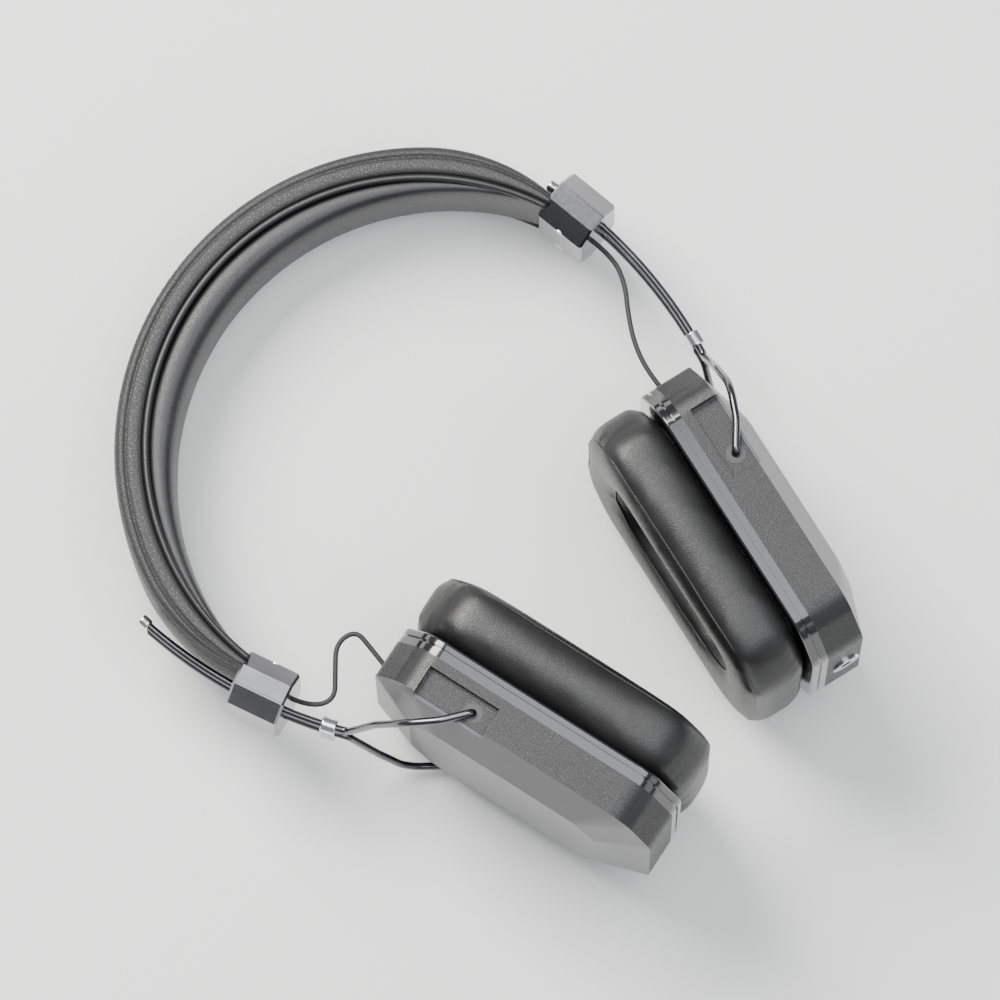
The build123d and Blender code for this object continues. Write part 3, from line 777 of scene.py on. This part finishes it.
class HEADSET_OT_band_piping(bpy.types.Operator):
    """Builds the piping sewn into the seam between cover and cushion, front and rear"""

    bl_idname = "headset.band_piping"
    bl_label = "Band piping"

    def execute(self, context):
        material = leather("piping_leather", shade(colours().vinyl, 0.75), sizes().pad_grain, 0.04 * MM, 0.3)
        runs = []
        for hand in (1, -1):
            path = []
            for turn in band_turns(sizes().band_steps):
                depth = band_station(turn)[2] + PIPING_RADIUS
                path.append(band_point(turn, depth, hand * PIPING_Z))
            runs.append(tube(path, PIPING_RADIUS, 14))
        piping = new_mesh("band_piping", *joined(runs), material)
        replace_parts(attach(piping, "headband"), "headband_piping")
        return {"FINISHED"}


class HEADSET_OT_slider_blocks(bpy.types.Operator):
    """Finishes the slider blocks, with their screws and springs"""

    bl_idname = "headset.slider_blocks"
    bl_label = "Slider blocks"

    def execute(self, context):
        gunmetal = metal("block_gunmetal", colours().block, 0.2, 0.1)
        paint(gunmetal, *both("slider_block_outer"), *both("slider_block_inner"))
        for name in both("slider_block_outer") + both("slider_block_inner"):
            soften_edges(name, 0.25 * MM)
        paint(metal("screw_steel", colours().bright, 0.2), *both("slider_screws"), *both("cover_screws"))
        spring = metal("spring_steel", shade(colours().bright, 0.5), 0.3)
        paint(spring, "headband_spring", *both("detent_spring"))
        return {"FINISHED"}


class HEADSET_OT_arms(bpy.types.Operator):
    """Finishes the steel wires, their ferrules and their end stops"""

    bl_idname = "headset.arms"
    bl_label = "Arms"

    def execute(self, context):
        paint(metal("wire_steel", colours().wire, 0.22, 0.1), *both("yoke_wires"))
        bright = metal("bright_steel", colours().bright, 0.14)
        paint(bright, *both("yoke_bridge"), *both("end_stop"), "jack_socket_left")
        return {"FINISHED"}


class HEADSET_OT_leads(bpy.types.Operator):
    """Builds the thin lead from each slider block to its cup"""

    bl_idname = "headset.leads"
    bl_label = "Leads"

    def execute(self, context):
        sheath = rubber("lead_sheath", (0.02, 0.02, 0.021))
        paint(sheath, "crossover_lead", *both("lead_grommet"))
        for side in SIDES:
            route = [ARCH @ Vector((HAND[side] * x * MM, y * MM, 0)) for x, y in LEAD_POINTS[side]]
            route.append(CUP[side] @ Vector(GROMMET_END))
            path = smooth_line(route)
            lead = new_mesh(f"lead_{side}", *tube(path, 0.75 * MM, 12), sheath)
            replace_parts(lead, f"arm_lead_{side}")
            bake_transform(lead)
        return {"FINISHED"}


def smooth_line(points):
    """Points along a smooth line that has these points as its controls."""
    curve = bpy.data.curves.new("route", "CURVE")
    curve.dimensions = "3D"
    spline = curve.splines.new("NURBS")
    spline.points.add(len(points) - 1)
    for point, place in zip(spline.points, points):
        point.co = (*place, 1.0)
    spline.order_u = 3
    spline.use_endpoint_u = True
    curve.resolution_u = 12
    holder = bpy.data.objects.new("route", curve)
    mesh = bpy.data.meshes.new_from_object(holder)
    line = [vertex.co.copy() for vertex in mesh.vertices]
    bpy.data.objects.remove(holder)
    bpy.data.curves.remove(curve)
    bpy.data.meshes.remove(mesh)
    return line


class HEADSET_OT_cup_shells(bpy.types.Operator):
    """Finishes the cups' walls, back covers, trim rings, bushes and the left cup's jack board"""

    bl_idname = "headset.cup_shells"
    bl_label = "Cup shells"

    def execute(self, context):
        paint(leather("wall_grain", colours().housing, 0.8 * MM, 0.05 * MM, 0.34), *both("cup_housing"))
        paint(plastic("cover_satin", colours().cover, 0.36, 0.5 * MM, 0.02 * MM, 0.15), *both("back_cover"))
        paint(plastic("trim_gloss", colours().trim, 0.14, 0.9 * MM, 0.006 * MM, 0.8), *both("trim_ring"))
        paint(plastic("bush_acetal", (0.04, 0.04, 0.042), 0.4, 0.5 * MM, 0.02 * MM), *both("pivot_bushes"))
        paint(plastic("board_green", (0.02, 0.13, 0.06), 0.35, 0.4 * MM, 0.02 * MM), "jack_board_left")
        for name in both("back_cover") + both("cup_housing"):
            soften_edges(name, 0.4 * MM, 12.0)
        return {"FINISHED"}


class HEADSET_OT_drivers(bpy.types.Operator):
    """Finishes the baffles and the drivers inside the cups"""

    bl_idname = "headset.drivers"
    bl_label = "Drivers"

    def execute(self, context):
        paint(plastic("inner_black", (0.05, 0.05, 0.053), 0.5, 0.6 * MM, 0.03 * MM),
              *both("baffle"), *both("driver_frame"))
        paint(metal("magnet_plate", (0.6, 0.6, 0.62), 0.25), *both("driver_magnet"))
        film = plastic("diaphragm_film", (0.5, 0.42, 0.3), 0.25, 0.5 * MM, 0.02 * MM)
        paint(film, *both("driver_diaphragm"))
        return {"FINISHED"}


WELT_RADIUS = 0.45 * MM


def smooth_loop(path, times=4):
    """A closed path with each point drawn towards its neighbours."""
    for _ in range(times):
        path = [(a + b * 2 + c) / 4 for a, b, c in zip(path[-1:] + path[:-1], path, path[1:] + path[:1])]
    return path


class HEADSET_OT_ear_pads(bpy.types.Operator):
    """Builds the ear pads: crowned foam rings under smooth leather, sewn at the opening"""

    bl_idname = "headset.ear_pads"
    bl_label = "Ear pads"

    def execute(self, context):
        material = leather("pad_leather", colours().pad, sizes().pad_grain, 0.04 * MM, 0.33)
        outer = cup_loop(0.5 * MM)
        inner = opening_loop(0.6 * MM)
        head, back = PAD_HEAD_Z + 0.6 * MM, TRIM_Z - 0.4 * MM
        for side in SIDES:
            rings = []
            for out, hole in zip(outer, inner):
                ring = []
                for across, z in crowned(56, 0.5, back, head, 5.0):
                    flat = out.lerp(hole, across + 0.5)
                    ring.append(CUP[side] @ Vector((flat.x, flat.y + CUP_DROP, z)))
                rings.append(ring)
            pad = new_mesh(f"ear_pad_skin_{side}", *loft(rings, closed_path=True), material)
            inflate(pad, 2.5 * MM, 4.0, 0.9 * MM)
            faces = [tuple(face.vertices) for face in pad.data.polygons]
            skin = BVHTree.FromPolygons([vertex.co for vertex in pad.data.vertices], faces)
            rings = []
            for loop in (cup_loop(0.4 * MM), opening_loop()):
                seam = [CUP[side] @ Vector((out.x, out.y + CUP_DROP, PAD_HEAD_Z)) for out in loop]
                path = smooth_loop([skin.find_nearest(point)[0] for point in seam])
                rings.append(tube(path, WELT_RADIUS, 8, closed=True))
            welts = new_mesh(f"ear_pad_welts_{side}", *joined(rings), material)
            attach(welts, f"cup_{side}")
            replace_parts(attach(pad, f"cup_{side}"), f"ear_pad_{side}")
        return {"FINISHED"}


class HEADSET_OT_pad_scrims(bpy.types.Operator):
    """Builds the cloth stretched over each baffle inside the ear opening"""

    bl_idname = "headset.pad_scrims"
    bl_label = "Ear cloths"

    def execute(self, context):
        material = mesh_cloth("scrim_cloth", (0.035, 0.035, 0.037), sizes().cloth_pitch)
        steps = 14
        rim_z = TRIM_Z + 0.35 * MM
        for side in SIDES:
            edge = cup_loop(SCRIM_INSET + 0.2 * MM, 96)
            faces, local = [], []
            for i in range(1, steps + 1):
                share = i / steps
                for out in edge:
                    local.append((out.x * share, out.y * share, rim_z + SCRIM_RISE * (1 - share ** 2)))
            local.append((0.0, 0.0, rim_z + SCRIM_RISE))
            points = [CUP[side] @ Vector((x, y + CUP_DROP, z)) for x, y, z in local]
            count = len(edge)
            for i in range(steps - 1):
                for j in range(count):
                    k = (j + 1) % count
                    faces.append((i * count + j, (i + 1) * count + j, (i + 1) * count + k, i * count + k))
            faces.extend((len(local) - 1, j, (j + 1) % count) for j in range(count))
            cloth = new_mesh(f"ear_cloth_{side}", points, faces, material)
            layer = cloth.data.uv_layers.new(name="threads")
            for loop in cloth.data.loops:
                x, y, _ = local[loop.vertex_index]
                layer.data[loop.index].uv = (x, y)
            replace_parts(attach(cloth, f"cup_{side}"), f"pad_scrim_{side}")
        return {"FINISHED"}


class HEADSET_OT_stage(bpy.types.Operator):
    """Lays the surface, hangs the lights and stands the camera over the headset"""

    bl_idname = "headset.stage"
    bl_label = "Stage"

    def execute(self, context):
        half = FLOOR_HALF
        corners = [(-half, -half, 0), (half, -half, 0), (half, half, 0), (-half, half, 0)]
        paint_coat = floor_paint("surface_paint", colours().floor)
        floor = new_mesh("surface", corners, [(0, 1, 2, 3)], paint_coat, False)
        low, high = (Vector(corner) for corner in CAD_BOX)
        middle = (low + high) / 2
        centre = ARCH.translation
        stand = Vector((centre.x + CAMERA_X, centre.y + CAMERA_Y, CAMERA_HEIGHT))
        aim = (middle - stand).normalized()
        up = Vector(CAMERA_UP)
        right = aim.cross(up).normalized()
        camera = bpy.data.cameras.new("camera")
        camera.sensor_width = SENSOR
        camera.lens = SENSOR * (middle - stand).length / FRAME_WIDTH
        camera.clip_end = 20
        holder = bpy.data.objects.new("camera", camera)
        holder.matrix_world = placement(stand, right, right.cross(aim), -aim)
        bpy.context.scene.collection.objects.link(holder)
        bpy.context.scene.camera = holder
        window = WINDOW_SIDE * 1.1 + Vector((0, 0, 1.15))
        lamp("window", middle + window, middle, 0.8, 52.0, (1.0, 0.985, 0.96))
        lamp("ceiling", middle + Vector((0.15, -0.1, 1.8)), middle, 1.3, 26.0, (0.96, 0.98, 1.0))
        fill = Vector((0.3, 0, 0.7)) - WINDOW_SIDE * 1.3
        lamp("fill", middle + fill, middle, 0.8, 3.0, (0.97, 0.98, 1.0))
        world = bpy.data.worlds.new("room")
        world.use_nodes = True
        world.node_tree.nodes["Background"].inputs[0].default_value = (0.9, 0.92, 0.95, 1.0)
        world.node_tree.nodes["Background"].inputs[1].default_value = 0.35
        bpy.context.scene.world = world
        return {"FINISHED"}


def lamp(name, place, target, size, power, colour):
    """A square soft light that faces a point."""
    light = bpy.data.lights.new(name, "AREA")
    light.shape = "SQUARE"
    light.size = size
    light.energy = power
    light.color = colour
    holder = bpy.data.objects.new(name, light)
    turn = (target - place).to_track_quat("-Z", "Y").to_matrix().to_4x4()
    holder.matrix_world = Matrix.Translation(place) @ turn
    bpy.context.scene.collection.objects.link(holder)


STEPS = (
    HEADSET_OT_band_cover, HEADSET_OT_band_cushion, HEADSET_OT_band_piping, HEADSET_OT_slider_blocks,
    HEADSET_OT_arms, HEADSET_OT_leads, HEADSET_OT_cup_shells, HEADSET_OT_drivers, HEADSET_OT_ear_pads,
    HEADSET_OT_pad_scrims, HEADSET_OT_stage,
)


class HEADSET_PT_panel(bpy.types.Panel):
    """Lists the headset's pieces, sizes and colours"""

    bl_label = "Headset"
    bl_idname = "HEADSET_PT_panel"
    bl_space_type = "VIEW_3D"
    bl_region_type = "UI"
    bl_category = "Headset"

    def draw(self, context):
        for group in (context.scene.headset_sizes, context.scene.headset_colours):
            for name in group.__annotations__:
                self.layout.prop(group, name)
        for step in STEPS:
            self.layout.operator(step.bl_idname)


CLASSES = (HeadsetSizes, HeadsetColours, *STEPS, HEADSET_PT_panel)


def register():
    for cls in CLASSES:
        bpy.utils.register_class(cls)
    bpy.types.Scene.headset_sizes = PointerProperty(type=HeadsetSizes)
    bpy.types.Scene.headset_colours = PointerProperty(type=HeadsetColours)


def unregister():
    del bpy.types.Scene.headset_colours
    del bpy.types.Scene.headset_sizes
    for cls in reversed(CLASSES):
        bpy.utils.unregister_class(cls)


def main():
    register()
    for step in STEPS:
        group, name = step.bl_idname.split(".")
        getattr(getattr(bpy.ops, group), name)()


if __name__ == "__main__":
    main()
